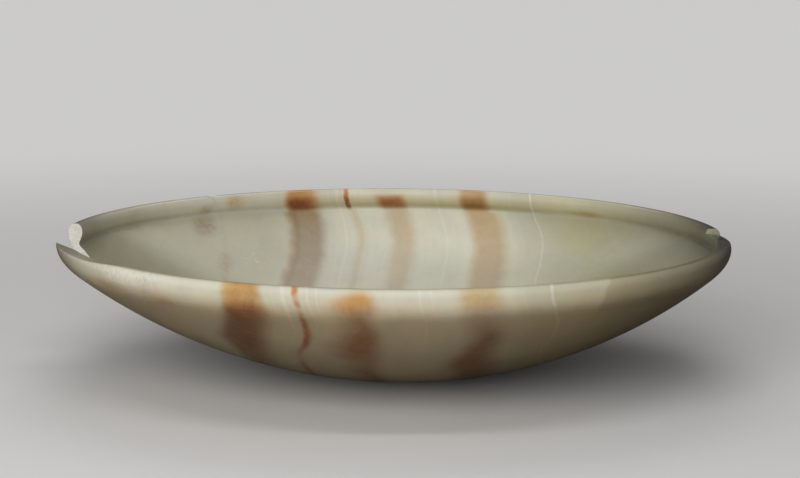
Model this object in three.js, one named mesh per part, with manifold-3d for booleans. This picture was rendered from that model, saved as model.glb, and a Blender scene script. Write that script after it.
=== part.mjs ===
// A shallow round dish carved from one block of banded stone, with a thickened lip and an old break.
// Millimetres, +Z up. The origin is the centre of the flat face that the dish rests on.
// Angles go round the axis from +X towards +Y, and depths go down from the top of the lip.
import * as THREE from "three";
import { mergeVertices } from "three/addons/utils/BufferGeometryUtils.js";
import Module from "manifold-3d";

// Driving sizes of the whole form
const rimDiameter = 250;
const overallHeight = 51.4;
const baseDiameter = 48; // the flat face ground under the round body
const shoulderDrop = 9.0; // depth at which the body's curve turns up into the lip
const shoulderInset = 2.6; // how far inside the greatest radius that happens
const lipThickness = 5.6; // across the rounded top
const bandTuck = 1.2; // how far the inner band of the lip leans back at its foot
const bandFillet = 1.3; // length of the soft corner on each side of that foot
const wallThickness = 2.6; // at the foot of the band
const floorThickness = 4.5; // at the axis
const rimLean = 3.2; // how far the rim was cut off centre from the base, towards -X

// The break through the rim at the left, a scoop that is steep on its far side
const breakMiddle = 180.5;
const breakHalfAngle = 8.2;
const breakDepth = 11.5;
const breakSquareness = 3; // power of the scoop's outline: 2 is a parabola, more is squarer

// The flake that left with it, which thins the near end of the lip to a point
const flakeTipAngle = breakMiddle + breakHalfAngle - 0.7; // just inside the scoop's near end
const flakeHeelAngle = flakeTipAngle + 11.5;
const flakeDepth = 5.6;
const tipFall = 1.9; // how far the top of the lip has worn down at the point
const tipFallEnd = flakeTipAngle + 34; // the angle at which that wear runs out

// A shallow loss along the top of the lip at the right, with a step at its far end and wear past it
const spallFarAngle = 7.2;
const spallNearAngle = -17;
const spallDepth = 2.7; // at the foot of the step, over the middle of the lip
const spallMiddleDepth = 1.6;
const spallSlope = 0.15; // fall towards the outside, in mm for each mm
const spallWear = 0.5; // how far the lip has worn down at the head of the step
const spallWearEnd = 28; // the angle at which that wear runs out

// A nick in the top of the lip at the back
const nickAngle = 128.3;
const nickWidth = 3.6;
const nickDepth = 0.9;

// Smoothness of the round stretches
const roundSegments = 96;
const bodySteps = 14;
const shoulderSteps = 3;
const lipSteps = 8;
const bandSteps = 2;
const filletSteps = 2;
const scoopSteps = 10;

const cutterMargin = 6; // how far a cutter reaches past what it cuts
const cutterReach = 24; // how far a cutter reaches in from the greatest radius

const rimRadius = rimDiameter / 2;
const lipRadius = lipThickness / 2;
const lipHeight = overallHeight - lipRadius;

const wasm = await Module();
wasm.setup();

// The circle centred on the axis that passes through two points of the profile
function axisCircle(start, end) {
  const rise = 2 * (end.y - start.y);
  const centre = (end.lengthSq() - start.lengthSq()) / rise;
  return { centre, radius: Math.hypot(start.x, start.y - centre) };
}

function axisArc(start, end, steps) {
  const { centre, radius } = axisCircle(start, end);
  const angle = (point) => Math.atan2(point.y - centre, point.x);
  const clockwise = angle(end) < angle(start);
  const curve = new THREE.EllipseCurve(0, centre, radius, radius, angle(start), angle(end), clockwise);
  return curve.getPoints(steps);
}

// Outside: flat base, a slice of a sphere, and a shoulder that turns up to the lip
function outerProfile(baseEdge, shoulder) {
  const { centre } = axisCircle(baseEdge, shoulder);
  const slope = shoulder.x / (centre - shoulder.y);
  const corner = new THREE.Vector2(rimRadius, shoulder.y + shoulderInset * slope);
  const lipSide = new THREE.Vector2(rimRadius, lipHeight);
  const turn = new THREE.QuadraticBezierCurve(shoulder, corner, lipSide);
  return [...axisArc(baseEdge, shoulder, bodySteps), ...turn.getPoints(shoulderSteps).slice(1)];
}

function lipProfile() {
  const top = new THREE.EllipseCurve(rimRadius - lipRadius, lipHeight, lipRadius, lipRadius, 0, Math.PI);
  return top.getPoints(lipSteps).slice(1);
}

// The foot of the lip's inner band, where it meets a surface one wall's thickness inside the body
function bandFoot(baseEdge, shoulder) {
  const { centre, radius } = axisCircle(baseEdge, shoulder);
  const footRadius = rimRadius - lipThickness + bandTuck;
  return new THREE.Vector2(footRadius, centre - Math.sqrt((radius - wallThickness) ** 2 - footRadius ** 2));
}

// Inside: the band down to its foot, a soft corner, and a flatter curve down to the floor
function innerProfile(foot) {
  const bandTop = new THREE.Vector2(rimRadius - lipThickness, lipHeight);
  const bulge = new THREE.Vector2(bandTop.x, (lipHeight + foot.y) / 2);
  const above = foot.clone().add(new THREE.Vector2().subVectors(bulge, foot).setLength(bandFillet));
  const floor = new THREE.Vector2(0, floorThickness);
  const { centre, radius } = axisCircle(foot, floor);
  const belowAngle = Math.atan2(foot.x, centre - foot.y) - bandFillet / radius;
  const below = new THREE.Vector2(radius * Math.sin(belowAngle), centre - radius * Math.cos(belowAngle));
  const band = new THREE.QuadraticBezierCurve(bandTop, bulge, above);
  const corner = new THREE.QuadraticBezierCurve(above, foot, below);
  return [
    ...band.getPoints(bandSteps).slice(1),
    ...corner.getPoints(filletSteps).slice(1),
    ...axisArc(below, floor, bodySteps).slice(1),
  ];
}

function dishProfile() {
  const baseEdge = new THREE.Vector2(baseDiameter / 2, 0);
  const shoulder = new THREE.Vector2(rimRadius - shoulderInset, overallHeight - shoulderDrop);
  const axisPoint = new THREE.Vector2(0, 0);
  const inside = innerProfile(bandFoot(baseEdge, shoulder));
  return [axisPoint, ...outerProfile(baseEdge, shoulder), ...lipProfile(), ...inside];
}

// A closed mesh becomes a solid that can be cut
function toSolid(geometry) {
  geometry.deleteAttribute("normal");
  geometry.deleteAttribute("uv");
  const merged = mergeVertices(geometry, 1e-4);
  const triangles = [];
  for (let i = 0; i < merged.index.count; i += 3) {
    const [a, b, c] = merged.index.array.slice(i, i + 3);
    if (a !== b && b !== c && c !== a) triangles.push(a, b, c);
  }
  const vertProperties = new Float32Array(merged.attributes.position.array);
  const mesh = new wasm.Mesh({ numProp: 3, vertProperties, triVerts: new Uint32Array(triangles) });
  return new wasm.Manifold(mesh);
}

function toGeometry(solid) {
  const mesh = solid.getMesh();
  const geometry = new THREE.BufferGeometry();
  geometry.setAttribute("position", new THREE.BufferAttribute(mesh.vertProperties, 3));
  geometry.setIndex(new THREE.BufferAttribute(mesh.triVerts, 1));
  return geometry;
}

// A point near the lip from its angle, its depth and its distance from the axis
function rimPoint(angle, depth, radius) {
  const turn = THREE.MathUtils.degToRad(angle);
  return new THREE.Vector3(radius * Math.cos(turn), radius * Math.sin(turn), overallHeight - depth);
}

// A cutter through the lip. Its outline of (angle, depth) points is asked for at each end's radius,
// and it runs with the angle rising along its lower side.
function radialCutter(outlineAt) {
  const innerRadius = rimRadius - cutterReach;
  const outerRadius = rimRadius + cutterMargin;
  const outline = outlineAt(outerRadius);
  const inner = outlineAt(innerRadius).map(({ x, y }) => rimPoint(x, y, innerRadius));
  const outer = outline.map(({ x, y }) => rimPoint(x, y, outerRadius));
  const count = outline.length;
  const triangles = [];
  for (const [a, b, c] of THREE.ShapeUtils.triangulateShape(outline, [])) {
    triangles.push(a, b, c, a + count, c + count, b + count);
  }
  for (let i = 0; i < count; i += 1) {
    const next = (i + 1) % count;
    triangles.push(i, next, count + i, next, count + next, count + i);
  }
  const geometry = new THREE.BufferGeometry().setFromPoints([...inner, ...outer]);
  geometry.setIndex(triangles);
  return toSolid(geometry);
}

// An outline from points along its lower side, closed above the lip
function closedAbove(lowerSide) {
  const first = lowerSide[0];
  const last = lowerSide[lowerSide.length - 1];
  return [...lowerSide, new THREE.Vector2(last.x, -cutterMargin), new THREE.Vector2(first.x, -cutterMargin)];
}

function breakCutter() {
  const lowerSide = [];
  for (let i = 0; i <= scoopSteps; i += 1) {
    const across = (2 * i) / scoopSteps - 1;
    const depth = breakDepth * (1 - Math.abs(across) ** breakSquareness);
    lowerSide.push(new THREE.Vector2(breakMiddle + breakHalfAngle * across, depth));
  }
  return radialCutter(() => closedAbove(lowerSide));
}

// Seen from above, the flake's face runs from the outside of the lip at its tip to the inside at its heel
function flakeCutter() {
  const tip = rimPoint(flakeTipAngle, 0, rimRadius);
  const heel = rimPoint(flakeHeelAngle, 0, rimRadius - lipThickness);
  const along = new THREE.Vector3().subVectors(tip, heel).normalize();
  const pastTip = tip.clone().addScaledVector(along, cutterMargin);
  const inside = rimPoint(breakMiddle, 0, rimRadius - cutterReach);
  const outline = new THREE.Shape([pastTip, inside, heel].map(({ x, y }) => new THREE.Vector2(x, y)));
  const depth = flakeDepth + cutterMargin;
  const geometry = new THREE.ExtrudeGeometry(outline, { depth, bevelEnabled: false });
  geometry.translate(0, 0, overallHeight - flakeDepth);
  return toSolid(geometry);
}

function tipWearCutter() {
  const lowerSide = [
    new THREE.Vector2(breakMiddle, tipFall),
    new THREE.Vector2(flakeTipAngle, tipFall),
    new THREE.Vector2((flakeHeelAngle + tipFallEnd) / 2, tipFall * 0.6),
    new THREE.Vector2(tipFallEnd, 0),
  ];
  return radialCutter(() => closedAbove(lowerSide));
}

function spallCutter() {
  return radialCutter((radius) => {
    const fall = spallSlope * (radius - rimRadius + lipRadius);
    return [
      new THREE.Vector2(spallNearAngle, fall),
      new THREE.Vector2((spallNearAngle + spallFarAngle) / 2, spallMiddleDepth + fall),
      new THREE.Vector2(spallFarAngle, spallDepth + fall),
      new THREE.Vector2(spallFarAngle, spallWear),
      new THREE.Vector2(spallWearEnd, 0),
      new THREE.Vector2(spallWearEnd, -cutterMargin),
      new THREE.Vector2(spallNearAngle, -cutterMargin),
    ];
  });
}

function nickCutter() {
  const angle = THREE.MathUtils.radToDeg(nickWidth / rimRadius);
  return radialCutter(() => [
    new THREE.Vector2(nickAngle - angle, -nickDepth),
    new THREE.Vector2(nickAngle, nickDepth),
    new THREE.Vector2(nickAngle + angle, -nickDepth),
  ]);
}

function dishGeometry() {
  const whole = new THREE.LatheGeometry(dishProfile(), roundSegments);
  whole.rotateX(Math.PI / 2);
  const cutters = [breakCutter(), flakeCutter(), tipWearCutter(), spallCutter(), nickCutter()];
  const solid = cutters.reduce((cut, cutter) => cut.subtract(cutter), toSolid(whole));
  const lean = new THREE.Matrix4().makeShear(0, 0, 0, 0, -rimLean / overallHeight, 0);
  return toGeometry(solid).applyMatrix4(lean);
}

const paleBandedStone = new THREE.MeshStandardMaterial({ color: 0xbdbb9c, roughness: 0.28, metalness: 0 });

const dish = new THREE.Mesh(dishGeometry(), paleBandedStone);
dish.name = "dish";

const model = new THREE.Group();
model.name = "shallow_stone_dish";
model.add(dish);

export default model;
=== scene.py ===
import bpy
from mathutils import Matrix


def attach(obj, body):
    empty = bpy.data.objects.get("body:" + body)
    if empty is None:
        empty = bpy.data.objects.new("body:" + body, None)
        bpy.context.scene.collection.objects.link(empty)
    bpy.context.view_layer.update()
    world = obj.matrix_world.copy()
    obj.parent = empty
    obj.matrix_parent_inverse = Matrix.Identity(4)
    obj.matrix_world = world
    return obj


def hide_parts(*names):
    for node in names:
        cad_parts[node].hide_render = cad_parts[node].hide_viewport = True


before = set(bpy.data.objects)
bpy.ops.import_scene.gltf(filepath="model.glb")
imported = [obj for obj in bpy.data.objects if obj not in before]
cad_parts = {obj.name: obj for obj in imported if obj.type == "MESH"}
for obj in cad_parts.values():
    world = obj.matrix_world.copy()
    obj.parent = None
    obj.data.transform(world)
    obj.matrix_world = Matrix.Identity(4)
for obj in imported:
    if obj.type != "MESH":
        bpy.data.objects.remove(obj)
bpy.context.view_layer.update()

import math

import bmesh
import bpy
from mathutils import Matrix, Vector, noise

mm = 0.001
heightSpan = 52.0  # every curve against the height runs from 0 to this, in mm
clearance = 6.0  # how far the cutters reach past the lip, in mm

# The dish's own sizes in millimetres, the same ones that its solid is made from
form = {
    "rimRadius": 125.0,
    "height": 51.4,
    "baseRadius": 24.0,
    "shoulderDrop": 9.0,
    "shoulderInset": 2.6,
    "softShoulder": 2,  # steps of the wall over which the shoulder is polished round
    "lipThickness": 5.6,
    "bandTuck": 1.2,
    "bandFillet": 1.3,
    "wallThickness": 2.6,
    "floorThickness": 4.5,
    "rimLean": 3.2,
    "baseRounding": 1.2,  # the worn edge of the flat base
    "stepsRound": 400,
    "unevenness": 0.18,  # how far the hand-ground wall strays from a true circle
    "strayScale": 1.1,  # how fine that is round the dish
    "strayDrift": 12.0,  # and how fast it changes with the height
    "seed": 7.3,  # of the unevenness
    "sharpAngle": 38,  # edges sharper than this many degrees stay sharp
}

# How many steps each part of the profile is drawn with
profileSteps = {"base": 8, "baseRounding": 4, "wall": 60, "shoulder": 16, "lip": 22, "band": 8,
                "fillet": 8}

# The losses along the lip, as angles from +X towards +Y and depths below the top of the lip. The radii
# of each cutter are the first one, the last one and the steps between them
breakForm = {  # through the rim at -X
    "middle": 180.5,
    "halfAngle": 8.2,
    "depth": 11.5,
    "squareness": 3.0,
    "steps": 80, "radii": (104.0, 129.0, 60),
    "roughness": 0.34, "grain": 3.2,
}

flakeForm = {  # beside the break, with a thin tip towards -Y
    "tip": 188.0,
    "heel": 199.5,
    "reach": 24,  # how far it goes in from the rim
    "depth": 5.6,
    "cuts": 30,
    "roughness": 0.14, "grain": 3.0,
}

wearForm = {  # the worn lip that runs on from the flake
    "start": 180.5,
    "tip": 188.0,
    "middle": 210.75,
    "end": 222.0,
    "fall": 1.9,
    "middleFall": 1.14,
    "steps": 60, "radii": (110.0, 131.0, 6),
    "roughness": 0.03, "grain": 9.0,
}

spallForm = {  # long and shallow, with a steep end and a worn lip past it
    "near": -17.0,
    "far": 7.2,
    "wearEnd": 28.0,
    "depth": 2.7,
    "middleDepth": 1.6,
    "slope": 0.15,
    "wear": 0.5,
    "stepWidth": 0.12,  # the steep end of the spall, in degrees
    "stepReach": 0.07,  # faces this close to the middle of that end are broken stone
    "steps": 60,
    "wearSteps": 24,
    "radii": (112.0, 128.0, 40),
    "roughness": 0.12, "grain": 2.6,
}

nickForm = {  # in the far lip
    "angle": 128.3,
    "width": 3.6,
    "depth": 0.9,
    "steps": 8, "radii": (112.0, 130.0, 24),
    "roughness": 0.12, "grain": 1.6,
}

# The finer grain of every rough surface, as shares of its coarse grain, and the seed of both
fineGrain = {"size": 0.3, "amount": 0.35, "seed": 11}


def report(text):
    print("scene:", text)


# Profile of the dish, from the middle of the base round the lip to the middle of the floor

def arcCentre(start, end):  # how high the centre of an arc through two points lies on the dish's axis
    return (end.length_squared - start.length_squared) / (2 * (end.y - start.y))


def arcOnAxis(start, end, steps):
    centre = arcCentre(start, end)
    radius = math.hypot(start.x, start.y - centre)
    first = math.atan2(start.y - centre, start.x)
    last = math.atan2(end.y - centre, end.x)
    turns = [first + (last - first) * i / steps for i in range(steps + 1)]
    return [Vector((radius * math.cos(t), centre + radius * math.sin(t))) for t in turns]


def bend(start, corner, end, steps):  # a quadratic curve from start to end
    points = []
    for i in range(steps + 1):
        t = i / steps
        points.append(start * (1 - t) ** 2 + corner * 2 * t * (1 - t) + end * t ** 2)
    return points


def outerProfile(baseEdge, shoulder):
    centre = arcCentre(baseEdge, shoulder)
    body = arcOnAxis(baseEdge, shoulder, profileSteps["wall"])[:-form["softShoulder"]]
    start = body[-1]
    slope = start.x / (centre - start.y)
    corner = Vector((form["rimRadius"], start.y + (form["rimRadius"] - start.x) * slope))
    lipSide = Vector((form["rimRadius"], form["height"] - form["lipThickness"] / 2))
    across = profileSteps["base"]
    flat = [Vector((baseEdge.x * i / across, 0)) for i in range(across)]
    flat.append(Vector((baseEdge.x - form["baseRounding"], 0)))
    soft = bend(flat[-1], baseEdge, body[1], profileSteps["baseRounding"])
    return flat + soft[1:] + body[2:] + bend(start, corner, lipSide, profileSteps["shoulder"])[1:]


def lipProfile():
    radius = form["lipThickness"] / 2
    centre = Vector((form["rimRadius"] - radius, form["height"] - radius))
    steps = profileSteps["lip"]
    turns = [math.pi * i / steps for i in range(1, steps + 1)]
    return [centre + Vector((math.cos(t), math.sin(t))) * radius for t in turns]


def bandFoot(baseEdge, shoulder):  # where the lip's inner band meets the inside of the wall
    centre = arcCentre(baseEdge, shoulder)
    radius = math.hypot(baseEdge.x, baseEdge.y - centre) - form["wallThickness"]
    x = form["rimRadius"] - form["lipThickness"] + form["bandTuck"]
    return Vector((x, centre - math.sqrt(radius ** 2 - x ** 2)))


def innerProfile(foot):
    inset = form["rimRadius"] - form["lipThickness"]
    bandTop = Vector((inset, form["height"] - form["lipThickness"] / 2))
    bulge = Vector((bandTop.x, (bandTop.y + foot.y) / 2))
    above = foot + (bulge - foot).normalized() * form["bandFillet"]
    floor = Vector((0, form["floorThickness"]))
    centre = arcCentre(foot, floor)
    radius = centre - floor.y
    turn = math.atan2(foot.x, centre - foot.y) - form["bandFillet"] / radius
    below = Vector((radius * math.sin(turn), centre - radius * math.cos(turn)))
    band = bend(bandTop, bulge, above, profileSteps["band"])
    corner = bend(above, foot, below, profileSteps["fillet"])
    return band[1:] + corner[1:] + arcOnAxis(below, floor, profileSteps["wall"])[1:]


def dishProfile():
    baseEdge = Vector((form["baseRadius"], 0))
    shoulderRadius = form["rimRadius"] - form["shoulderInset"]
    shoulder = Vector((shoulderRadius, form["height"] - form["shoulderDrop"]))
    return outerProfile(baseEdge, shoulder) + lipProfile() + innerProfile(bandFoot(baseEdge, shoulder))


# Shader and geometry maths written as Python: a Field wraps one socket of a node tree

class Field:
    def __init__(self, socket):
        self.socket = socket
        self.tree = socket.id_data

    def node(self, kind, settings, values, output=None):
        made = self.tree.nodes.new(kind)
        for name, value in settings.items():
            if name == "stops":
                setStops(made.color_ramp, value)
            else:
                setattr(made, name, value)
        for name, value in values.items():
            target = openSocket(made.inputs, name)
            if isinstance(value, Field):
                value.feed(target)
            else:
                target.default_value = value
        return Field(openSocket(made.outputs, output))

    def feed(self, socket):
        self.tree.links.new(self.socket, socket)

    def maths(self, operation, first, second):
        vectors = [f for f in (first, second) if isinstance(f, Field) and f.socket.type == "VECTOR"]
        if not vectors:
            return self.node("ShaderNodeMath", {"operation": operation}, {0: first, 1: second})
        second = (second,) * 3 if isinstance(second, (int, float)) else second
        return self.node("ShaderNodeVectorMath", {"operation": operation}, {0: first, 1: second})

    def __add__(self, other):
        return self.maths("ADD", self, other)

    def __radd__(self, other):
        return self.maths("ADD", other, self)

    def __sub__(self, other):
        return self.maths("SUBTRACT", self, other)

    def __rsub__(self, other):
        return self.maths("SUBTRACT", other, self)

    def __mul__(self, other):
        return self.maths("MULTIPLY", self, other)

    def __truediv__(self, other):
        return self.maths("DIVIDE", self, other)

    def __abs__(self):
        return self.maths("ABSOLUTE", self, 0.0)

    def sine(self):
        return self.maths("SINE", self, 0.0)

    def cosine(self):
        return self.maths("COSINE", self, 0.0)

    def smooth(self, low, high, atLow=0.0, atHigh=1.0):  # an S-shaped step between two values
        settings = {"interpolation_type": "SMOOTHSTEP"}
        values = {"Value": self, "From Min": low, "From Max": high, "To Min": atLow, "To Max": atHigh}
        return self.node("ShaderNodeMapRange", settings, values)

    def edge(self, name, *strengths):  # one of the soft edges listed with the stone
        return self.smooth(*edges[name], *strengths)

    def noise(self, scale, detail=2.0, roughness=0.5):  # -1 to 1, cloudy, 1/scale across
        settings = {"noise_dimensions": "3D"}
        values = {"Vector": self, "Scale": scale, "Detail": detail, "Roughness": roughness}
        return (self.node("ShaderNodeTexNoise", settings, values) - 0.5) * 2.0

    def cloud(self, name):  # one of the clouds of noise listed with the stone
        strength, scale, detail, roughness = clouds[name]
        return self.noise(scale, detail, roughness) * strength

    def length(self):
        return self.node("ShaderNodeVectorMath", {"operation": "LENGTH"}, {0: self}, "Value")

    def parts(self):
        return [self.node("ShaderNodeSeparateXYZ", {}, {0: self}, axis) for axis in "XYZ"]

    def vector(self, x, y, z):
        return self.node("ShaderNodeCombineXYZ", {}, {"X": x, "Y": y, "Z": z})

    def blend(self, other, factor, mode="MIX"):
        settings = {"data_type": "RGBA", "blend_type": mode}
        return self.node("ShaderNodeMix", settings, {"Factor": factor, "A": self, "B": tinted(other)})

    def between(self, low, high):  # the colour low where this is 0, high where it is 1
        values = {"Factor": self, "A": tinted(low), "B": tinted(high)}
        return self.node("ShaderNodeMix", {"data_type": "RGBA"}, values)

    def clamp(self):
        return self.node("ShaderNodeClamp", {}, {0: self})

    def ramp(self, stops):
        return self.node("ShaderNodeValToRGB", {"stops": stops}, {0: self})

    def curve(self, stops):  # a number against the height, from a list of (height, number)
        lowest = min(number for _, number in stops)
        reach = max(number for _, number in stops) - lowest
        shades = [(height / heightSpan, ((number - lowest) / reach,) * 3) for height, number in stops]
        made = (self / heightSpan).ramp(shades)
        made.socket.node.color_ramp.interpolation = "CARDINAL"
        return made * reach + lowest


def distance(x, y):
    return x.maths("POWER", x * x + y * y, 0.5)


def tinted(color):
    return color if isinstance(color, Field) else (*color, 1.0)


def openSocket(sockets, name):
    if name is None:
        return next(s for s in sockets if s.enabled)
    if isinstance(name, int):
        return sockets[name]
    return next(s for s in sockets if s.enabled and s.name == name)


def setStops(ramp, stops):
    while len(ramp.elements) < len(stops):
        ramp.elements.new(0.5)
    for element, (place, color) in zip(ramp.elements, stops):
        element.position = place
        element.color = (*color, 1.0)


# The turned body of the dish: Geometry Nodes sweep the profile round the axis

turningInputs = {
    "Geometry": "Geometry",
    "Steps Round": "Int",
    "Rim Lean": "Float",
    "Unevenness": "Float",
    "Seed": "Float",
    "Material": "Material",
}


def turningTree(name):
    tree = bpy.data.node_groups.new(name, "GeometryNodeTree")
    sides = tree.interface
    for label, kind in turningInputs.items():
        sides.new_socket(label, in_out="INPUT", socket_type="NodeSocket" + kind)
    sides.new_socket("Geometry", in_out="OUTPUT", socket_type="NodeSocketGeometry")
    given = tree.nodes.new("NodeGroupInput")
    fields = {label: Field(given.outputs[label]) for label in turningInputs}
    profile = fields["Geometry"]
    count = profile.node("GeometryNodeAttributeDomainSize", {}, {"Geometry": profile}, "Point Count")
    rows = fields["Steps Round"] + 1
    sizes = {"Size X": 1.0, "Size Y": 1.0, "Vertices X": count, "Vertices Y": rows}
    grid = profile.node("GeometryNodeMeshGrid", {}, sizes, "Mesh")
    moved = {"Geometry": grid, "Position": turnedPlace(fields, count)}
    swept = grid.node("GeometryNodeSetPosition", {}, moved)
    near = {"Geometry": swept, "Distance": 0.01 * mm}
    closed = swept.node("GeometryNodeMergeByDistance", {}, near)
    smooth = closed.node("GeometryNodeSetShadeSmooth", {}, {"Geometry": closed, "Shade Smooth": True})
    real = smooth.node("GeometryNodeRealizeInstances", {}, {"Geometry": smooth})
    finish = {"Geometry": real, "Material": fields["Material"]}
    done = real.node("GeometryNodeSetMaterial", {}, finish)
    result = tree.nodes.new("NodeGroupOutput")
    done.feed(result.inputs["Geometry"])
    return tree


def turnedPlace(fields, count):  # where each point of the flat grid goes on the dish
    profile = fields["Geometry"]
    place = profile.node("GeometryNodeInputPosition", {}, {})
    across, along, _ = place.parts()
    row = (across + 0.5) * (count - 1)
    row = row.node("FunctionNodeFloatToInt", {"rounding_mode": "ROUND"}, {0: row})
    sampled = {"Geometry": profile, "Value": place, "Index": row}
    sample = profile.node("GeometryNodeSampleIndex", {"data_type": "FLOAT_VECTOR"}, sampled, "Value")
    radius, _, height = sample.parts()
    turn = (along + 0.5) * (2 * math.pi)
    cosine = turn.cosine()
    sine = turn.sine()
    stray = turn.vector(cosine, sine, height * form["strayDrift"]) + fields["Seed"]
    stray = stray.noise(form["strayScale"]) * fields["Unevenness"]
    radius = radius + stray * radius / (form["rimRadius"] * mm)
    lean = fields["Rim Lean"] * height / (form["height"] * mm)
    return turn.vector(radius * cosine - lean, radius * sine, height)


def socketId(tree, name):
    sides = tree.interface.items_tree
    return next(s.identifier for s in sides if s.in_out == "INPUT" and s.name == name)


def makeObject(name, mesh):
    made = bpy.data.objects.new(name, mesh)
    bpy.context.scene.collection.objects.link(made)
    return made


def bake(piece):  # turns a piece's modifiers into plain mesh
    graph = bpy.context.evaluated_depsgraph_get()
    plain = bpy.data.meshes.new_from_object(piece.evaluated_get(graph), depsgraph=graph)
    piece.modifiers.clear()
    old = piece.data
    piece.data = plain
    bpy.data.meshes.remove(old)


def tidyMesh(mesh):
    tooClose = 0.004 * mm
    tooThin = 0.002 * mm
    work = bmesh.new()
    work.from_mesh(mesh)
    bmesh.ops.remove_doubles(work, verts=work.verts, dist=tooClose)
    bmesh.ops.dissolve_degenerate(work, edges=work.edges, dist=tooThin)
    bmesh.ops.recalc_face_normals(work, faces=work.faces)
    work.to_mesh(mesh)
    work.free()


def turnDish(material):
    profile = [(p.x * mm, 0.0, p.y * mm) for p in dishProfile()]
    mesh = bpy.data.meshes.new("dishProfile")
    mesh.from_pydata(profile, [(i, i + 1) for i in range(len(profile) - 1)], [])
    dish = makeObject("stoneDish", mesh)
    tree = turningTree("turnedDish")
    modifier = dish.modifiers.new("turned", "NODES")
    modifier.node_group = tree
    modifier[socketId(tree, "Steps Round")] = form["stepsRound"]
    modifier[socketId(tree, "Rim Lean")] = form["rimLean"] * mm
    modifier[socketId(tree, "Unevenness")] = form["unevenness"] * mm
    modifier[socketId(tree, "Seed")] = form["seed"]
    modifier[socketId(tree, "Material")] = material
    bake(dish)
    tidyMesh(dish.data)
    return dish


# Cutters for the old break and the losses along the lip

def rimPoint(angle, depth, radius):
    turn = math.radians(angle)
    return Vector((radius * math.cos(turn), radius * math.sin(turn), form["height"] - depth))


def leaned(point):  # follows the rim, which sits off the centre of the base
    return Vector((point.x - form["rimLean"] * point.z / form["height"], point.y, point.z))


def roughened(point, loss):
    grain = loss["grain"]
    coarse = noise.noise_vector(point / grain)
    fine = noise.noise_vector(point / (grain * fineGrain["size"]))
    return point + coarse * loss["roughness"] + fine * loss["roughness"] * fineGrain["amount"]


def between(start, end, steps):
    return [start + (end - start) * i / steps for i in range(steps + 1)]


def rimCutter(name, loss, angles, depthAt):
    radii = between(*loss["radii"])
    places = [(angle, radius) for angle in angles for radius in radii]
    floor = [rimPoint(angle, depthAt(angle, radius), radius) for angle, radius in places]
    rough = [roughened(point, loss) for point in floor]
    top = [rimPoint(angle, -clearance, radius) for angle, radius in places]
    return cutterObject(name, rough + top, blockFaces(len(angles), len(radii)))


def blockFaces(rows, count):  # the faces of a block whose floor and top are grids of points
    faces = []
    layer = rows * count
    for i in range(rows - 1):
        for j in range(count - 1):
            corner = i * count + j
            face = (corner, corner + 1, corner + count + 1, corner + count)
            faces.append(face)
            faces.append(tuple(layer + k for k in reversed(face)))
    edge = [i * count for i in range(rows)]
    edge += [edge[-1] + j for j in range(1, count)]
    edge += [i * count + count - 1 for i in range(rows - 2, -1, -1)]
    edge += range(count - 2, 0, -1)
    for a, b in zip(edge, edge[1:] + edge[:1]):
        faces.append((a, b, layer + b, layer + a))
    return faces


def cutterObject(name, points, faces):
    mesh = bpy.data.meshes.new(name)
    mesh.from_pydata([leaned(p) * mm for p in points], [], faces)
    work = bmesh.new()
    work.from_mesh(mesh)
    bmesh.ops.recalc_face_normals(work, faces=work.faces)
    bmesh.ops.triangulate(work, faces=work.faces)
    work.to_mesh(mesh)
    work.free()
    return makeObject(name, mesh)


def breakCutter():
    def depthAt(angle, radius):
        across = (angle - breakForm["middle"]) / breakForm["halfAngle"]
        return breakForm["depth"] * (1 - min(abs(across), 1.0) ** breakForm["squareness"])
    low = breakForm["middle"] - breakForm["halfAngle"]
    high = breakForm["middle"] + breakForm["halfAngle"]
    return rimCutter("breakCutter", breakForm, between(low, high, breakForm["steps"]), depthAt)


def flakeCorners():  # seen from above
    tip = rimPoint(flakeForm["tip"], 0, form["rimRadius"])
    heel = rimPoint(flakeForm["heel"], 0, form["rimRadius"] - form["lipThickness"])
    inside = rimPoint(breakForm["middle"], 0, form["rimRadius"] - flakeForm["reach"])
    pastTip = tip + (tip - heel).normalized() * clearance
    return [pastTip, inside, heel]


def flakeCutter():
    low = form["height"] - flakeForm["depth"]
    work = bmesh.new()
    corners = [work.verts.new((p.x, p.y, low)) for p in flakeCorners()]
    bottom = work.faces.new(corners)
    grown = bmesh.ops.extrude_face_region(work, geom=[bottom])["geom"]
    lifted = [g for g in grown if isinstance(g, bmesh.types.BMVert)]
    bmesh.ops.translate(work, verts=lifted, vec=(0, 0, flakeForm["depth"] + clearance))
    bmesh.ops.triangulate(work, faces=work.faces)
    bmesh.ops.subdivide_edges(work, edges=work.edges, cuts=flakeForm["cuts"], use_grid_fill=True)
    bmesh.ops.triangulate(work, faces=work.faces)
    work.verts.ensure_lookup_table()
    points = [roughened(v.co, flakeForm) for v in work.verts]
    faces = [tuple(v.index for v in f.verts) for f in work.faces]
    work.free()
    return cutterObject("flakeCutter", points, faces)


def alongLine(value, places, depths):  # depth from a broken line of (place, depth)
    if value <= places[0]:
        return depths[0]
    for (a, b), (c, d) in zip(zip(places, places[1:]), zip(depths, depths[1:])):
        if value <= b:
            return c + (d - c) * (value - a) / (b - a)
    return depths[-1]


def wearCutter():
    places = [wearForm["start"], wearForm["tip"], wearForm["middle"], wearForm["end"]]
    depths = [wearForm["fall"], wearForm["fall"], wearForm["middleFall"], 0.0]
    def depthAt(angle, radius):
        return alongLine(angle, places, depths)
    angles = between(wearForm["start"], wearForm["end"], wearForm["steps"])
    return rimCutter("wearCutter", wearForm, angles, depthAt)


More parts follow.
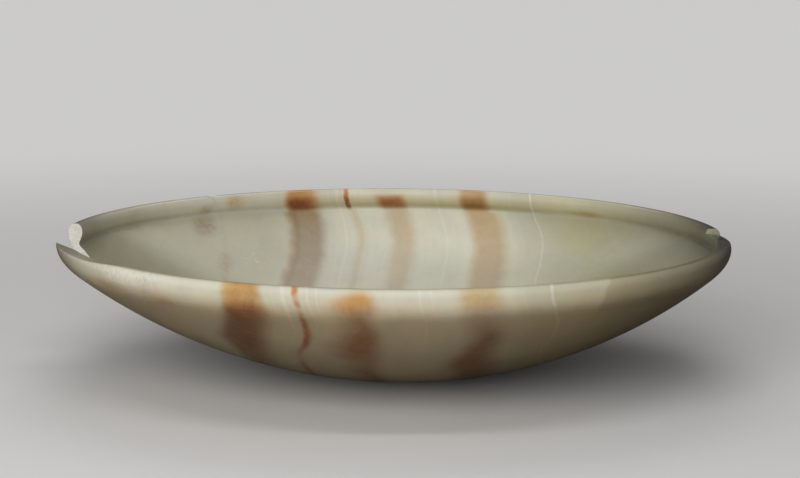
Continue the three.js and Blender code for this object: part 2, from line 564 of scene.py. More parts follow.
def spallCutter():
    near = spallForm["near"]
    far = spallForm["far"]
    wearEnd = spallForm["wearEnd"]
    places = [near, (near + far) / 2, far]
    depths = [0.0, spallForm["middleDepth"], spallForm["depth"]]
    lipMiddle = form["rimRadius"] - form["lipThickness"] / 2
    def depthAt(angle, radius):
        if angle > far:
            return alongLine(angle, [far, wearEnd], [spallForm["wear"], 0.0])
        return alongLine(angle, places, depths) + spallForm["slope"] * (radius - lipMiddle)
    floor = between(near, far, spallForm["steps"])
    worn = between(far + spallForm["stepWidth"], wearEnd, spallForm["wearSteps"])
    cutter = rimCutter("spallCutter", spallForm, floor + worn, depthAt)
    markSteepEnd(cutter)
    return cutter


def markSteepEnd(cutter):  # the steep end of the spall is broken stone, the rest is worn smooth
    middle = spallForm["far"] + spallForm["stepWidth"] / 2
    for face in cutter.data.polygons:
        angle = math.degrees(math.atan2(face.center.y, face.center.x + form["rimLean"] * mm))
        face.material_index = 1 if abs(angle - middle) < spallForm["stepReach"] else 0


def nickCutter():
    half = math.degrees(nickForm["width"] / form["rimRadius"])
    def depthAt(angle, radius):
        return nickForm["depth"] * (1 - 2 * abs(angle - nickForm["angle"]) / half)
    angles = between(nickForm["angle"] - half, nickForm["angle"] + half, nickForm["steps"])
    return rimCutter("nickCutter", nickForm, angles, depthAt)


def cutLosses(dish, stone, broken):
    noise.seed_set(fineGrain["seed"])
    finishes = [
        (breakCutter(), broken),
        (flakeCutter(), broken),
        (wearCutter(), stone),
        (spallCutter(), stone, broken),
        (nickCutter(), broken),
    ]
    for cutter, *materials in finishes:
        for material in materials:
            cutter.data.materials.append(material)
        cut = dish.modifiers.new(cutter.name, "BOOLEAN")
        cut.operation = "DIFFERENCE"
        cut.solver = "EXACT"
        cut.material_mode = "TRANSFER"
        cut.object = cutter
    bake(dish)
    for cutter, *_ in finishes:
        mesh = cutter.data
        bpy.data.objects.remove(cutter)
        bpy.data.meshes.remove(mesh)
    tidyMesh(dish.data)
    dish.data.polygons.foreach_set("use_smooth", [True] * len(dish.data.polygons))
    dish.data.set_sharp_from_angle(angle=math.radians(form["sharpAngle"]))


# Banded stone. Growth layers cross the block, so their place is one number, the layer, in mm along X

layers = {
    "tilt": 0.036,  # how fast the layers drift with Y
    "fan": 0.00032,  # how fast that drift changes from left to right
    # swing of the layers to the right against the height, on the far side and on the near side
    "farSwing": [(0, 0), (12, 3.0), (20, 4.3), (25, 5.3), (29, 6.0), (34, 5.6), (40, 3.4), (45, 1.0),
                 (51, 0)],
    "nearSwing": [(0, 0), (11, 0), (18, -1.8), (24, -1.7), (28, 0.7), (34, 2.6), (41, 2.0), (47, 0.6),
                  (51, 0)],
    # how the growth and the brown streaks are stretched: across the layers, in Y and in height
    "growthScales": (0.34, 0.016, 0.03),
    "streakScales": (0.45, 0.05, 0.05),
    # the clear stone on the near lip starts at a layer that shifts with the height above this one
    "clearHeight": 47.0,
    "clearLean": 0.55,
}

# Cloudy noise: its strength, how many clouds there are to a millimetre, its detail and its roughness
clouds = {
    "coarseWarp": (1.2, 0.021, 2.0, 0.5),
    "fineWarp": (0.6, 0.14, 3.0, 0.55),
    "ragged": (2.4, 0.12, 4.0, 0.6),
    "streaks": (3.6, 1.0, 3.0, 0.6),
    "growth": (0.04, 1.0, 4.0, 0.6),
    "tone": (0.17, 0.045, 5.0, 0.62),
    "grain": (0.03, 0.8, 3.0, 0.6),
    "hue": (0.06, 0.03, 4.0, 0.6),
    "bandSides": (1.3, 0.11, 2.0, 0.5),
    "mottle": (1.0, 0.16, 5.0, 0.62),
    "bandGrain": (1.0, 0.7, 4.0, 0.68),
    "wobble": (1.0, 0.3, 2.0, 0.5),
    "stainMottle": (1.0, 0.4, 5.0, 0.7),
    "flecks": (1.0, 0.5, 4.0, 0.7),
    "crust": (1.0, 0.7, 5.0, 0.75),
    "specks": (1.0, 1.3, 3.0, 0.6),
    "clearEdge": (0.6, 0.2, 2.0, 0.5),
    "polish": (0.06, 0.06, 4.0, 0.6),
    "ripple": (0.05, 0.05, 2.0, 0.5),
    "pores": (0.004, 1.4, 3.0, 0.6),
    "breakTone": (0.5, 0.28, 3.0, 0.6),
    "crystals": (0.6, 1.3, 4.0, 0.7),
    "pits": (0.22, 1.1, 4.0, 0.65),
}

# Soft edges: where a zone starts and where it is full, and for some the strength at the two
edges = {
    # in Y, in mm
    "far": (-30, 30),
    # by how far the surface faces up
    "inside": (0.1, 0.35),
    "underside": (0.25, -0.02),
    # in the distance from the middle of the rim, in mm
    "innerBand": (122.4, 120.4),
    "crestShadeRadii": (123.8, 122.9),
    # in height, in mm
    "wall": (44.4, 42.6),
    "wallBands": (43.8, 42.0),
    "deepShade": (36, 17),
    "middleLight": (20, 34),
    "body": (46.6, 38.4),
    "browned": (47.6, 41.0),
    "lipTop": (45.8, 50.6),
    "innerBandFoot": (42.8, 44.2),
    "innerBandTop": (50.6, 45.0),
    "crestHighlight": (46.6, 49.6),
    "haloTop": (50.2, 47.8),
    "speckFoot": (43.5, 47.0),
    "clearFoot": (38, 43),
    "paintedGlowFoot": (42.0, 44.6),
    "paintedGlowTop": (49.2, 46.0),
    "paintedSpillFoot": (37.0, 42.2),
    "paintedSpillTop": (44.6, 42.6),
    "crestShadeTop": (49.6, 50.6),
    # across the layers, in mm
    "lipLeft": (-75, -15, 0.15, 1.0),
    "lipRight": (30, 80, 1.0, 0.4),
    "deepShadeAcross": (-40, 70, 0.45, 1.5),
    "rightClearAndShadeStart": (36, 62),
    "rightClearAndShadeEnd": (104, 76),
    "left": (-48, -68),
    "middleLightStart": (-46, -34),
    "middleLightEnd": (46, 30),
    "paintedSpillAcross": (36, -10, 0.1, 1.0),
    "clearStart": (67.6, 69.0),
    "clearEnd": (120, 74),
    "breakRight": (60, 110),
    # in a spot, from its edge in to its middle
    "spot": (1.0, 0.2),
}

# Each band: its left and right edges with their softness on the far lip and on the wall, and the same
# edges against the height on the near side, with their softness there. Then how far its sides stray,
# how much wider it is on the body, how patchy it is, its strength against the height on the near side
# and at the far crest, where a lower strength is a painted highlight, and what the stone is multiplied
# by in each place
bands = {
    "amber": {
        "far": (-54.6, 2.2, -40.8, 2.4),
        "wall": (-57.0, 1.4, -52.6, 1.6),
        "nearLeft": [(0, -50), (24, -52), (40, -51), (52, -50)],
        "nearRight": [(0, -38), (20, -39.5), (34, -39.6), (41, -37.6), (46, -39.4), (52, -41)],
        "soft": (2.0, 2.2),
        "stray": 1.0, "smoke": 0.9, "patchy": 1.2,
        "heights": [(0, 0.2), (24, 0.3), (34, 0.45), (42, 0.7), (46, 0.5), (52, 0.6)],
        "crestHighlight": 0.8,
        "lipTint": (0.90, 0.69, 0.40), "farTint": (0.80, 0.52, 0.27),
        "bodyTint": (0.82, 0.60, 0.38), "wallTint": (0.86, 0.74, 0.58),
    },
    "umber": {
        "far": (-53.6, 1.6, -44.6, 3.2),
        "wall": (-55.0, 2.2, -42.4, 3.0),
        "nearLeft": [(0, -50), (14, -51), (19, -52.4), (25, -54.2), (30, -55.8), (35, -54.4),
                     (42, -52.4), (52, -53)],
        "nearRight": [(0, -40), (14, -41.5), (23, -42), (31, -41.4), (38, -39.6), (43, -40),
                      (47, -40.6), (52, -41.4)],
        "soft": (1.6, 2.6),
        "stray": 1.0, "smoke": 1.0, "patchy": 1.5,
        "heights": [(0, 0.3), (14, 0.6), (20, 0.8), (26, 1.0), (41, 1.0), (46, 0.95), (50, 1.0),
                    (52, 0.9)],
        "crestHighlight": 0.6,
        "lipTint": (0.84, 0.58, 0.31), "farTint": (0.58, 0.40, 0.39),
        "bodyTint": (0.56, 0.34, 0.30), "wallTint": (0.61, 0.47, 0.32),
    },
    "redLine": {
        "far": (-29.8, 0.5, -27.9, 0.6),
        "wall": (-28.4, 2.4, -25.4, 2.6),
        "nearLeft": [(0, -30), (11, -30.0), (17, -31.6), (23, -31.6), (26, -30.0), (29, -28.6),
                     (34, -27.3), (41, -28.1), (47, -29.4), (52, -30)],
        "nearRight": [(0, -28), (11, -28.0), (17, -29.7), (23, -29.6), (26, -27.8), (29, -26.2),
                      (34, -25.2), (41, -26.2), (47, -27.6), (52, -28)],
        "soft": (0.6, 0.8),
        "stray": 0.3, "smoke": 0.5, "patchy": 2.6,
        "heights": [(0, 0.8), (10, 0.9), (16, 0.75), (21, 0.35), (25, 0.6), (29, 1.0), (40, 0.9),
                    (44, 0.3), (46, 0.9), (48, 0.45), (50, 1.0), (52, 1.0)],
        "crestHighlight": 1.0,
        "lipTint": (0.88, 0.42, 0.16), "farTint": (0.46, 0.19, 0.10),
        "bodyTint": (0.72, 0.36, 0.25), "wallTint": (0.90, 0.80, 0.68),
    },
    "rust": {
        "far": (-15.2, 1.8, -5.0, 2.0),
        "wall": (-13.4, 3.2, -4.4, 3.2),
        "nearLeft": [(0, -9), (12, -12), (17, -14), (22, -16.8), (28, -17.4), (34, -14), (40, -13),
                     (45, -17), (48, -15.5), (52, -9)],
        "nearRight": [(0, -1), (12, -5.2), (17, -5), (26, -4.0), (33, -2.8), (40, -5.4), (46, -4.2),
                      (52, -6.4)],
        "soft": (4.6, 2.6),
        "stray": 1.0, "smoke": 0.5, "patchy": 1.6,
        "heights": [(0, 0.3), (8, 0.8), (13, 0.9), (19, 0.7), (24, 0.95), (30, 1.0), (34, 0.95),
                    (38, 0.92), (42, 0.85), (45, 0.9), (48, 1.0), (50, 0.75), (51.5, 0.3)],
        "crestHighlight": 0.0,
        "lipTint": (0.91, 0.58, 0.28), "farTint": (0.73, 0.45, 0.36),
        "bodyTint": (0.65, 0.39, 0.27), "wallTint": (0.85, 0.73, 0.60),
    },
    "ochre": {
        "far": (21.6, 1.7, 31.8, 2.2),
        "wall": (21.6, 3.0, 35.2, 3.6),
        "nearLeft": [(0, 19), (13, 20.4), (19, 18.4), (25, 24), (31, 27), (37, 26.4), (45, 23.4),
                     (52, 23.2)],
        "nearRight": [(0, 34), (16, 33.6), (25, 32.8), (31, 35.4), (38, 35.6), (45, 36.4), (52, 34.8)],
        "soft": (3.0, 2.8),
        "stray": 1.0, "smoke": 0.7, "patchy": 1.5,
        "heights": [(0, 0.5), (12, 0.8), (18, 1.0), (26, 1.0), (33, 0.9), (37, 0.55), (42, 0.4),
                    (47, 0.8), (52, 0.95)],
        "crestHighlight": 0.75,
        "lipTint": (0.85, 0.66, 0.41), "farTint": (0.70, 0.54, 0.35),
        "bodyTint": (0.60, 0.37, 0.29), "wallTint": (0.80, 0.60, 0.42),
    },
}

# How the mottling and the grain of the stone show in all the bands
bandWear = {
    "sides": 0.35,  # how far the mottling moves the sides
    "heights": 1.6,  # and the changes with the height
    "mottled": 0.26,
    "grained": 0.2,
    "calmer": 0.6,  # how much less of those two there is on the inside of the wall
    "strength": 0.94,
}

# The warm glow round some bands on the far lip
halo = {
    "bands": ("umber", "rust", "ochre"),
    "spread": 1.4,
    "softness": 1.8,
    "strength": 0.8,
    "tint": (0.88, 0.64, 0.46),
}

# Pale growth lines: layer, half width, strength, and how far they lean to the left low in the far wall
paleLines = [
    (51.2, 0.65, 0.9, 0.23),
    (-33.0, 0.9, 0.45, 0.0),
    (-36.6, 0.4, 0.2, 0.0),
    (-25.2, 0.6, 0.35, 0.0),
    (-22.2, 0.5, 0.3, 0.0),
    (9.9, 0.7, 0.55, 0.0),
    (13.6, 0.4, 0.25, 0.0),
    (42.5, 0.6, 0.15, 0.0),
]

# How all of those are drawn
lineForm = {
    "wander": 0.25,
    "core": 0.3,  # the share of the width that has the full strength
    "leanBelow": 36.0,  # the height under which they lean
    "strength": 0.85,
    "flicker": 0.5,
    "bodyFading": -0.36,
    "wallFading": -0.35,
}

# The vein at the left, which leans with the height on the far side
vein = {
    "farLayer": -83.5,
    "farTop": 50.4,
    "farLean": 0.4,
    "nearLayer": -80.6,
    "wander": 2.0,
    "edges": (0.2, 1.7, 0.36, 0.0),
    "patchy": 1.6,
    "cover": 0.6,
    "tint": (0.80, 0.70, 0.54),
}

# Whitish crystals at the left: flecks low in the wall and a crust on the near lip
frost = {
    "color": (0.76, 0.74, 0.655),
    "fleckSpot": ((-60, 74, 30), (9, 20, 10)),
    "fleckEdges": (0.06, 0.3),
    "fleckStrength": 0.7,
    "crustSpot": ((-90, -84, 49.5), (30, 34, 5.5)),
    "crustEdges": (-0.4, 0.25),
    "crustStrength": 0.8,
}

# Small pale crystals in the ochre band of the near lip
specks = {
    "color": (0.88, 0.74, 0.44),
    "band": (23.2, 1.0, 35.0, 1.0),
    "edges": (0.22, 0.42),
    "strength": 0.6,
}

# Stains, and painted shade over the near tip by the break (nearTipShade): middle and radii in mm, and
# what the stone is multiplied by
stains = {
    "farBrown": ((-81.5, 87, 39), (8, 14, 8), (0.66, 0.51, 0.38)),
    "lipBrown": ((-81, 93, 46.5), (5, 9, 3), (0.76, 0.62, 0.47)),
    "farOrange": ((-69.5, 99, 48), (6, 9, 4.5), (0.88, 0.66, 0.42)),
    # painted shade over the near tip, not a stain
    "nearTipShade": ((-120, -26, 44), (13, 36, 18), (0.66, 0.60, 0.50)),
    "veinLow": ((-71, 66, 27), (5, 14, 9), (0.86, 0.74, 0.56)),
    "veinFoot": ((-78, -90, 42.5), (8, 10, 4), (0.82, 0.61, 0.40)),
    "lipFoot": ((-96, -72, 44.5), (14, 16, 3.5), (0.88, 0.72, 0.52)),
    "lowLeft": ((-76, -70, 33), (10, 14, 5), (0.90, 0.78, 0.66)),
    "farCloud": ((74, 80, 37), (15, 22, 12), (0.97, 0.95, 0.78)),
    "lowRight": ((78, 52, 30), (16, 22, 12), (0.87, 0.85, 0.73)),
    "farStreak": ((77, 93, 45.5), (14, 14, 2.2), (0.86, 0.72, 0.50)),
}

stainWear = {"strength": 0.75, "mottled": 0.9}  # how all of them show

# Each tint is what the stone is multiplied by in one place
stone = {
    "milk": (0.74, 0.73, 0.66),  # the colour of the pale lines
    "undersidePatinaAndShade": (0.98, 0.88, 0.68),  # the underside: a brownish patina, and partly painted shade
    "lipTint": (0.74, 0.68, 0.48),  # the lip's thick inner band: yellower stone, and painted shade of the undercut band
    "clearTint": (0.85, 0.81, 0.73),  # the clear stone at the right of the near lip
    "deepTint": (0.82, 0.82, 0.71),  # painted shade low in the wall, deep in the bowl
    "rightTint": (0.80, 0.80, 0.71),  # the clear right of the wall: darker partly as clearer stone and partly as painted fall-off of the light
    "leftTint": (0.84, 0.82, 0.70),  # the left of the wall: yellower staining, and darker as painted fall-off of the light
    "milkyTint": (1.17, 1.17, 1.14),  # painted light, brightest on the middle of the wall, high up
    "glowTint": (1.17, 1.125, 1.04),  # painted glow on the warm foot of the lip, standing in for light that comes through
    "spillTint": (1.14, 1.10, 1.03),  # and painted light spilling below it
    "edgeTint": (0.72, 0.68, 0.56),  # painted shade along the inner edge of the near lip's top
    "roughness": 0.22,
    "bodyRoughness": 0.1,  # how much duller the underside is
    "index": 1.5,
    "scatter": 0.005,
    "scatterColor": (1.0, 0.84, 0.62),
}

# Base colour of the stone against the layer, from the break at the left to the clear right end. Its
# fall towards the right end is partly the clearer stone and partly painted fall-off of the light
stoneRamp = [
    (-126, (0.27, 0.25, 0.20)),
    (-119, (0.50, 0.475, 0.38)),
    (-106, (0.56, 0.54, 0.43)),
    (-84, (0.60, 0.58, 0.49)),
    (-60, (0.61, 0.60, 0.50)),
    (-38, (0.61, 0.59, 0.49)),
    (-20, (0.64, 0.62, 0.52)),
    (18, (0.66, 0.64, 0.54)),
    (44, (0.59, 0.58, 0.46)),
    (62, (0.585, 0.56, 0.43)),
    (80, (0.505, 0.485, 0.36)),
    (100, (0.35, 0.335, 0.245)),
    (110, (0.24, 0.23, 0.165)),
    (118, (0.11, 0.105, 0.08)),
    (126, (0.06, 0.056, 0.045)),
]


class Zones:  # where a point lies on the dish, as fields
    def __init__(self, place):
        self.place = place
        self.x, self.y, self.z = place.parts()
        facing = Field(place.tree.nodes.new("ShaderNodeNewGeometry").outputs["Normal"]).parts()[2]
        self.far = self.y.edge("far")
        self.near = 1.0 - self.far
        self.inside = facing.edge("inside")
        self.wall = self.inside * self.z.edge("wall")  # the inside below the lip
        self.ragged = self.z + place.cloud("ragged")
        underside = facing.edge("underside")
        self.body = underside * self.ragged.edge("body")  # the outside below the lip
        streaks = self.stretched(self.x, layers["streakScales"]).cloud("streaks")
        self.browned = underside * (self.ragged + streaks).edge("browned")
        rimX = self.x + self.z * (form["rimLean"] / form["height"])
        self.radius = distance(rimX, self.y)
        band = self.radius.edge("innerBand") * self.z.edge("innerBandFoot")
        self.innerBand = band * self.z.edge("innerBandTop")

    def stretched(self, across, scales):
        return across.vector(across * scales[0], self.y * scales[1], self.z * scales[2])

    def zoned(self, band):
        top = self.ragged.edge("lipTop")
        color = (self.far * (1.0 - top)).between(band["lipTint"], band["farTint"])
        color = self.browned.between(color, band["bodyTint"])
        return self.wall.between(color, band["wallTint"])

    def spot(self, middle, radii):
        return ((self.place - middle) / radii).length().edge("spot")


def blockField(zones):  # the layer before its swings
    raw = zones.x * (1.0 + zones.y * layers["fan"]) - zones.y * layers["tilt"]
    return raw + zones.place.cloud("coarseWarp") + zones.place.cloud("fineWarp")


def layerField(zones, block):
    farSwing = zones.z.curve(layers["farSwing"]) * zones.far
    nearSwing = zones.z.curve(layers["nearSwing"]) * zones.near
    return block - farSwing - nearSwing


def bandMask(layer, left, leftSoft, right, rightSoft):
    rise = layer.smooth(left - leftSoft, left + leftSoft)
    fall = layer.smooth(right - rightSoft, right + rightSoft, 1.0, 0.0)
    return rise * fall


def objectPlace(tree):
    coords = Field(tree.nodes.new("ShaderNodeTexCoord").outputs["Object"])
    return coords.node("ShaderNodeMapping", {}, {"Vector": coords, "Scale": (1000, 1000, 1000)})


def newMaterial(name):
    material = bpy.data.materials.new(name)
    material.use_nodes = True
    shader = material.node_tree.nodes["Principled BSDF"]
    return material, material.node_tree, shader


def setRelief(shader, relief):  # from heights in mm
    bump = relief.node("ShaderNodeBump", {}, {"Height": relief, "Distance": mm, "Strength": 1.0})
    bump.feed(shader.inputs["Normal"])


def groundColor(zones, layer):
    span = stoneRamp[-1][0]
    stops = [((at + span) / (2 * span), color) for at, color in stoneRamp]
    color = ((layer + span) / (2 * span)).ramp(stops)
    place = zones.place
    elsewhere = place + 300.0  # so that the hue doesn't follow the tone
    growth = zones.stretched(layer, layers["growthScales"]).cloud("growth")
    tone = 1.0 + growth + place.cloud("tone") + place.cloud("grain")
    warm = elsewhere.cloud("hue")
    return color.blend(tone.vector(tone + warm, tone, tone - warm), 1.0, "MULTIPLY")


def nearMask(zones, block, band, height):
    spread = zones.body * band["smoke"] + 1.0
    left = (block - zones.z.curve(band["nearLeft"])) / spread
    right = (block - zones.z.curve(band["nearRight"])) / spread
    softLeft, softRight = band["soft"]
    mask = left.smooth(-softLeft, softLeft) * right.smooth(-softRight, softRight, 1.0, 0.0)
    return mask * height.curve(band["heights"])


def farMask(zones, layer, band, height, ragged, soft):
    # where the band is weaker at the far crest, that paleness is a painted highlight
    crestHighlight = height.edge("crestHighlight", 1.0, band["crestHighlight"])
    lip = bandMask(layer + ragged, *band["far"]) * crestHighlight
    wall = bandMask(layer + soft, *band["wall"])
    low = zones.z.edge("wallBands")
    return lip * (1.0 - low) + wall * low


def drawBand(color, zones, block, layer, band, noises):
    soft, mottle, grain = noises
    ragged = (soft + mottle * bandWear["sides"]) * band["stray"]
    height = zones.z + mottle * bandWear["heights"]
    near = nearMask(zones, block + ragged, band, height)
    far = farMask(zones, layer, band, height, ragged, soft)
    mask = near * zones.near + far * zones.far
    rough = mottle * bandWear["mottled"] + grain * bandWear["grained"]
    rough = rough * (1.0 - zones.wall * bandWear["calmer"]) * band["patchy"]
    mask = (mask * (rough + bandWear["strength"])).clamp()
    return color.blend(zones.zoned(band), mask, "MULTIPLY")


def drawHalo(color, zones, layer, band):
    left, _, right, _ = band["far"]
    spread = halo["spread"]
    softness = halo["softness"]
    mask = bandMask(layer, left - spread, softness, right + spread, softness)
    mask = mask * zones.far * (1.0 - zones.body) * (1.0 - zones.wall)
    mask = mask * zones.z.edge("haloTop", band["crestHighlight"], 1.0)
    return color.blend(halo["tint"], mask * halo["strength"], "MULTIPLY")


def drawBands(color, zones, block, layer):
    noises = [zones.place.cloud(name) for name in ("bandSides", "mottle", "bandGrain")]
    for name, band in bands.items():
        if name in halo["bands"]:
            color = drawHalo(color, zones, layer, band)
        color = drawBand(color, zones, block, layer, band, noises)
    return color


def drawLines(color, zones, layer):
    wobble = zones.place.cloud("wobble")
    fading = zones.body * lineForm["bodyFading"] + zones.wall * lineForm["wallFading"] + 1.0
    shown = fading * (lineForm["strength"] + wobble * lineForm["flicker"])
    below = lineForm["leanBelow"] - zones.z
    low = below.maths("MAXIMUM", below, 0.0) * zones.far
    for at, half, strength, lean in paleLines:
        offset = layer + wobble * lineForm["wander"] + low * lean - at
        line = abs(offset).smooth(half * lineForm["core"], half, strength, 0.0)
        color = color.blend(stone["milk"], (line * shown).clamp())
    return color


def drawVein(color, zones, block, mottle):
    far = block - vein["farLayer"] - (vein["farTop"] - zones.z) * vein["farLean"]
    near = block - vein["nearLayer"]
    offset = far * zones.far + near * zones.near
    mask = abs(offset + mottle * vein["wander"]).smooth(*vein["edges"])
    mask = mask * (mottle * vein["patchy"] + vein["cover"]).clamp()
    return color.blend(vein["tint"], mask, "MULTIPLY")


def drawStains(color, zones, block):
    mottle = zones.place.cloud("stainMottle")
    for middle, radii, tint in stains.values():
        mask = zones.spot(middle, radii) * (stainWear["strength"] + mottle * stainWear["mottled"])
        color = color.blend(tint, mask.clamp(), "MULTIPLY")
    return drawVein(color, zones, block, mottle)


def drawFrost(color, zones):
    flecks = zones.place.cloud("flecks").smooth(*frost["fleckEdges"]) * zones.spot(*frost["fleckSpot"])
    color = color.blend(frost["color"], flecks * frost["fleckStrength"])
    crust = zones.place.cloud("crust").smooth(*frost["crustEdges"]) * zones.spot(*frost["crustSpot"])
    return color.blend(frost["color"], (crust * frost["crustStrength"]).clamp())


def drawSpecks(color, zones, block):
    mask = bandMask(block, *specks["band"]) * zones.near * zones.z.edge("speckFoot")
    shown = zones.place.cloud("specks").smooth(*specks["edges"]) * mask
    return color.blend(specks["color"], shown * specks["strength"])


def drawClearStone(color, zones, layer):  # where the milky stone ends on the near lip
    shift = (zones.z - layers["clearHeight"]) * layers["clearLean"]
    across = layer + zones.place.cloud("clearEdge") - shift
    clear = across.edge("clearStart") * zones.z.edge("clearFoot") * zones.near
    return color.blend(stone["clearTint"], clear * across.edge("clearEnd"), "MULTIPLY")


def wallMasks(zones, layer):  # by the name of the tint
    wall = zones.wall
    # painted shade low in the bowl
    deepShade = zones.z.edge("deepShade") * wall * layer.edge("deepShadeAcross")
    # darker right of the wall: clearer stone and painted fall-off of the light
    right = layer.edge("rightClearAndShadeStart") * layer.edge("rightClearAndShadeEnd") * wall
    # darker, yellower left of the wall: staining and painted fall-off of the light
    left = layer.edge("left") * wall
    # painted light high on the middle of the wall
    middleLight = layer.edge("middleLightStart") * layer.edge("middleLightEnd") * wall
    middleLight = middleLight * zones.z.edge("middleLight")
    return {"deepTint": deepShade, "rightTint": right, "leftTint": left, "milkyTint": middleLight}


def nearLipMasks(zones, layer):
    outside = (1.0 - zones.inside) * zones.near
    # painted glow on the foot of the near lip
    glow = zones.ragged.edge("paintedGlowFoot") * zones.z.edge("paintedGlowTop") * outside
    # painted light spilling below the foot of the near lip
    paintedSpill = zones.ragged.edge("paintedSpillFoot") * zones.ragged.edge("paintedSpillTop")
    paintedSpill = paintedSpill * outside * layer.edge("paintedSpillAcross")
    # painted shade along the near lip's inner crest edge
    top = zones.radius.edge("crestShadeRadii") * zones.z.edge("crestShadeTop") * zones.near
    return {"glowTint": glow, "spillTint": paintedSpill, "edgeTint": top}


def shadeZones(color, zones, layer):
    # the inner band's tint is yellower stone and painted shade of the undercut band
    across = layer.edge("lipLeft") * layer.edge("lipRight")
    # the underside is multiplied by its patina, which is partly painted shade
    masks = {"lipTint": zones.innerBand * across, "undersidePatinaAndShade": zones.body}
    masks.update(wallMasks(zones, layer))
    masks.update(nearLipMasks(zones, layer))
    for name, mask in masks.items():
        color = color.blend(stone[name], mask, "MULTIPLY")
    return color


def bandedColor(place):
    zones = Zones(place)
    block = blockField(zones)
    layer = layerField(zones, block)
    color = groundColor(zones, layer)
    color = drawLines(color, zones, layer)
    color = drawBands(color, zones, block, layer)
    color = drawSpecks(color, zones, block)
    color = drawStains(color, zones, block)
    color = drawFrost(color, zones)
    color = drawClearStone(color, zones, layer)
    return shadeZones(color, zones, layer), zones


def bandedStone():
    material, tree, shader = newMaterial("bandedStone")
    place = objectPlace(tree)
    color, zones = bandedColor(place)
    color.feed(shader.inputs["Base Color"])
    roughness = stone["roughness"] + place.cloud("polish") + zones.body * stone["bodyRoughness"]
    roughness.feed(shader.inputs["Roughness"])
    setRelief(shader, place.cloud("ripple") + place.cloud("pores"))
    setConstants(shader, stone["scatter"])
    return material


def setConstants(shader, scatter):
    shader.inputs["Subsurface Weight"].default_value = 1.0
    shader.inputs["Subsurface Radius"].default_value = stone["scatterColor"]
    shader.inputs["Subsurface Scale"].default_value = scatter
    shader.inputs["IOR"].default_value = stone["index"]


# Broken faces: dull crystals of every grey and cream
broken = {
    "colors": [(0.22, (0.40, 0.36, 0.30)), (0.42, (0.64, 0.60, 0.53)), (0.62, (0.80, 0.77, 0.71))],
    "rightTint": (0.50, 0.49, 0.40),  # the clear stone at the right is darker, partly as clearer stone and partly as painted fall-off of the light
    "roughness": 0.8,
    "scatter": 0.0025,
}


def brokenStone():
    material, tree, shader = newMaterial("brokenStone")
    place = objectPlace(tree)
    tone = place.cloud("breakTone") + place.cloud("crystals")
    color = (tone * 0.5 + 0.5).ramp(broken["colors"])
    x = place.parts()[0]
    # darker towards the right: clearer stone and painted fall-off of the light
    color = color.blend(broken["rightTint"], x.edge("breakRight"), "MULTIPLY")
    color.feed(shader.inputs["Base Color"])
    shader.inputs["Roughness"].default_value = broken["roughness"]
    setRelief(shader, place.cloud("pits"))
    setConstants(shader, broken["scatter"])
    return material


# Floor, lamps and camera

studio = {
    "floorRadius": 12.0,
    "floorSteps": 96,
    "floorRoughness": 0.8,
    "floorColor": (0.82, 0.81, 0.80),
    "floorBounce": (0.10, 0.085, 0.075),  # the floor as the dish sees it, for a dark shaded side
    "floorFade": (0.16, 0.75),  # distances from the dish over which the floor turns into the backdrop
    "backdrop": (0.60, 0.595, 0.59),
    "fill": 0.32,
    "mirrorDimming": 0.7,  # how much darker the surroundings look in the polish
    "lampAim": (0, 0, 0.03),
}

# Each lamp: place, width, height, power, and whether it shows in the polish
lamps = {
    "front": ((-0.33, -1.02, 0.30), 1.0, 1.0, 13.6, False),
    "rear": ((0.0, 0.71, 0.87), 0.6, 0.6, 1.7, True),
    "strip": ((0.0, -0.46, 1.03), 0.9, 0.12, 1.6, True),
}

viewpoint = {
    "distance": 0.875,
    "elevation": 8.674,
    "roll": 0.323,
    "lens": 105.36,
    "sensor": 36.0,
    "farthest": 100.0,
    "aim": (-0.00071, -0.00265),  # right of and above the middle of the rim's plane
}


def makeFloor():
    steps = studio["floorSteps"]
    radius = studio["floorRadius"]
    bpy.ops.mesh.primitive_circle_add(vertices=steps, radius=radius, fill_type="NGON")
    floor = bpy.context.object
    floor.name = "floor"
    material, tree, shader = newMaterial("paleFloor")
    shader.inputs["Roughness"].default_value = studio["floorRoughness"]
    seen = Field(tree.nodes.new("ShaderNodeLightPath").outputs["Is Camera Ray"])
    color = seen.between(studio["floorBounce"], studio["floorColor"])
    color.feed(shader.inputs["Base Color"])
    x, y, _ = Field(tree.nodes.new("ShaderNodeTexCoord").outputs["Object"]).parts()
    far = distance(x, y).smooth(*studio["floorFade"]) * seen
    glow = tree.nodes.new("ShaderNodeEmission")
    glow.inputs["Color"].default_value = (*studio["backdrop"], 1)
    surfaces = {0: far, 1: Field(shader.outputs[0]), 2: Field(glow.outputs[0])}
    mixed = far.node("ShaderNodeMixShader", {}, surfaces)
    mixed.feed(tree.nodes["Material Output"].inputs["Surface"])
    floor.data.materials.append(material)


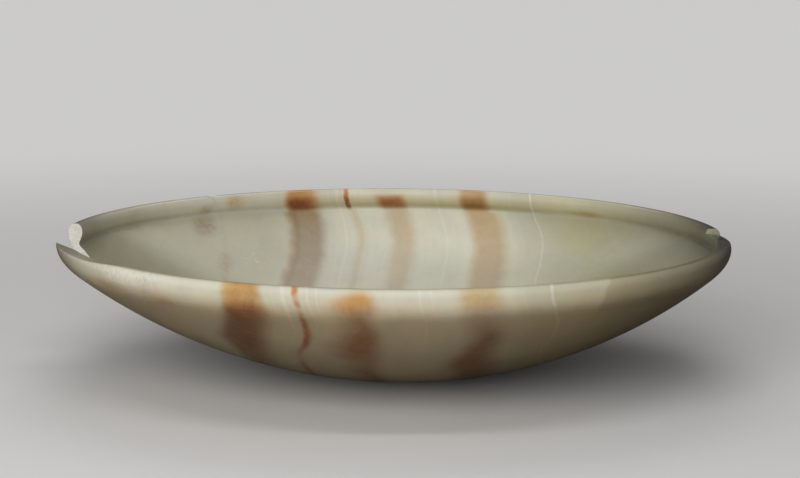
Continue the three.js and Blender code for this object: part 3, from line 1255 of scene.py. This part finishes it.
def makeWorld():
    world = bpy.data.worlds.new("studio")
    bpy.context.scene.world = world
    world.use_nodes = True
    tree = world.node_tree
    background = tree.nodes["Background"]
    rays = tree.nodes.new("ShaderNodeLightPath")
    seen = Field(rays.outputs["Is Camera Ray"])
    mirrored = Field(rays.outputs["Is Glossy Ray"])
    lit = (1.0 - mirrored * studio["mirrorDimming"]) * studio["fill"]
    strength = seen * (1.0 - studio["fill"]) + lit
    background.inputs["Color"].default_value = (*studio["backdrop"], 1)
    strength.feed(background.inputs["Strength"])


def looking(place, target):
    turn = (target - place).to_track_quat("-Z", "Y").to_matrix().to_4x4()
    return Matrix.Translation(place) @ turn


def makeLamps():
    for name, (place, width, height, power, mirrored) in lamps.items():
        data = bpy.data.lights.new(name, "AREA")
        data.shape = "RECTANGLE"
        data.size = width
        data.size_y = height
        data.energy = power
        made = makeObject(name, data)
        made.visible_glossy = mirrored
        made.matrix_world = looking(Vector(place), Vector(studio["lampAim"]))


def makeCamera():
    data = bpy.data.cameras.new("camera")
    data.lens = viewpoint["lens"]
    data.sensor_width = viewpoint["sensor"]
    data.clip_end = viewpoint["farthest"]
    camera = makeObject("camera", data)
    elevation = math.radians(viewpoint["elevation"])
    forward = Vector((0, math.cos(elevation), -math.sin(elevation)))
    upward = Vector((0, math.sin(elevation), math.cos(elevation)))
    middle = Vector((0, 0, form["height"] * mm))
    eye = middle - forward * viewpoint["distance"]
    right, up = viewpoint["aim"]
    aim = middle + Vector((right, 0, 0)) + upward * up
    roll = Matrix.Rotation(math.radians(viewpoint["roll"]), 4, "Z")
    camera.matrix_world = looking(eye, aim) @ roll
    bpy.context.scene.camera = camera


report("materials")
stoneMaterial = bandedStone()
brokenMaterial = brokenStone()

report("turning the dish")
dish = turnDish(stoneMaterial)
report(f"turned, {len(dish.data.polygons)} faces")
cutLosses(dish, stoneMaterial, brokenMaterial)
report(f"cut, {len(dish.data.polygons)} faces")
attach(dish, "root")
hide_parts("dish")

report("studio")
makeFloor()
makeWorld()
makeLamps()
makeCamera()
bpy.context.scene.view_settings.view_transform = "Standard"
